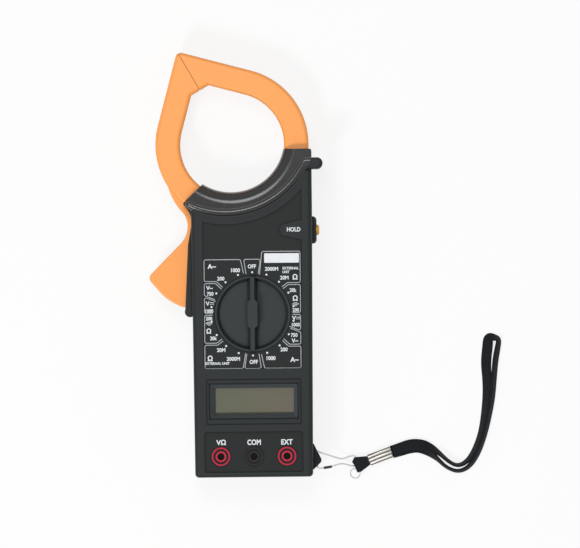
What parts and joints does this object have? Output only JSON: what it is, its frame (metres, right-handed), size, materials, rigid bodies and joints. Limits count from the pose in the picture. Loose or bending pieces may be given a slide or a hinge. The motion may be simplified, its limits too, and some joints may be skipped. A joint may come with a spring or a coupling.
{
  "type": "clamp meter",
  "caption": "Hand-held digital clamp meter: hinged orange jaws with trigger, rotary selector, small display, test-lead jacks, HOLD button and wrist strap.",
  "frame": {"origin": "on the flat back face, under the axis of the selector knob", "axes": "+Y towards the jaw tip, +Z out of the front face, +X towards the HOLD button; the meter lies on its back"},
  "size_m": [0.1954, 0.2408, 0.037],
  "materials": {
    "case_black": "moulded charcoal ABS, fine spark texture",
    "knob_black": "moulded charcoal ABS, satin",
    "jaw_orange": "moulded orange ABS, satin",
    "button_yellow": "amber button plastic, satin",
    "jack_red": "red insert, semi gloss",
    "jack_black": "black insert, semi gloss",
    "lens": "clear acrylic window",
    "lcd": "grey green liquid crystal cell",
    "frame_black": "black carrier",
    "zebra": "elastomer strip",
    "board_green": "solder mask",
    "chip_black": "epoxy package",
    "steel": "zinc plated steel",
    "nickel": "nickel plated",
    "brass": "turned brass",
    "core_steel": "laminated silicon steel",
    "bobbin_white": "nylon",
    "copper": "enamelled copper wire",
    "battery_shell": "plain painted jacket",
    "lead_red": "wire insulation",
    "strap_fabric": "woven nylon webbing"
  },
  "bodies": {
    "root": {"front_case": "case_black", "rear_case": "case_black", "case_screws": "steel", "fixed_jaw_front": "jaw_orange", "fixed_jaw_rear": "jaw_orange", "fixed_core": "core_steel", "coil_bobbin": "bobbin_white", "coil_winding": "copper", "jaw_pivot_pin": "steel", "jaw_spring": "steel", "circuit_board": "board_green", "board_chips": "chip_black", "board_screws": "steel", "buzzer": "chip_black", "lcd_window": "lens", "lcd_glass": "lcd", "lcd_frame": "frame_black", "zebra_strip": "zebra", "jack_left": "jack_red", "jack_common": "jack_black", "jack_right": "jack_red", "jack_sleeves": "brass", "hold_switch": "chip_black", "battery": "battery_shell", "battery_snap": "frame_black", "battery_leads": "lead_red"},
    "moving_jaw": {"moving_jaw_front": "jaw_orange", "moving_jaw_rear": "jaw_orange", "moving_core": "core_steel"},
    "selector": {"selector_knob": "knob_black", "selector_rotor": "bobbin_white", "contact_blades": "brass", "detent_balls": "steel", "detent_springs": "steel"},
    "hold": {"hold_button": "button_yellow", "switch_plunger": "bobbin_white"},
    "door": {"battery_door": "case_black", "door_screw": "steel"},
    "strap": {"strap_hook": "steel", "strap_ring": "nickel", "strap_ferrule": "nickel", "strap_end_loop": "strap_fabric", "strap_webbing": "strap_fabric"}
  },
  "joints": [
    {"name": "jaw_pivot", "type": "hinge", "parent": "root", "child": "moving_jaw", "pos_m": [-0.028, 0.05, 0.015], "axis": [0, 0, 1], "range_deg": [0, 30], "stiffness_Nm_per_rad": 0.6, "springref_deg": -20.05, "deforming": ["jaw_spring"]},
    {"name": "selector_turn", "type": "hinge", "parent": "root", "child": "selector", "pos_m": [0, 0, 0.03], "axis": [0, 0, 1], "continuous": true},
    {"name": "hold_press", "type": "slide", "parent": "root", "child": "hold", "axis": [-1, 0, 0], "range_m": [0, 0.0015], "stiffness_N_per_m": 300, "springref_m": -0.001},
    {"name": "door_lift", "type": "slide", "parent": "root", "child": "door", "axis": [0, 0, -1], "range_m": [0, 0.012]},
    {"name": "strap_swing", "type": "hinge", "parent": "root", "child": "strap", "pos_m": [0.0356, -0.0806, 0.0116], "axis": [0, -1, 0], "range_deg": [0, 40]}
  ]
}
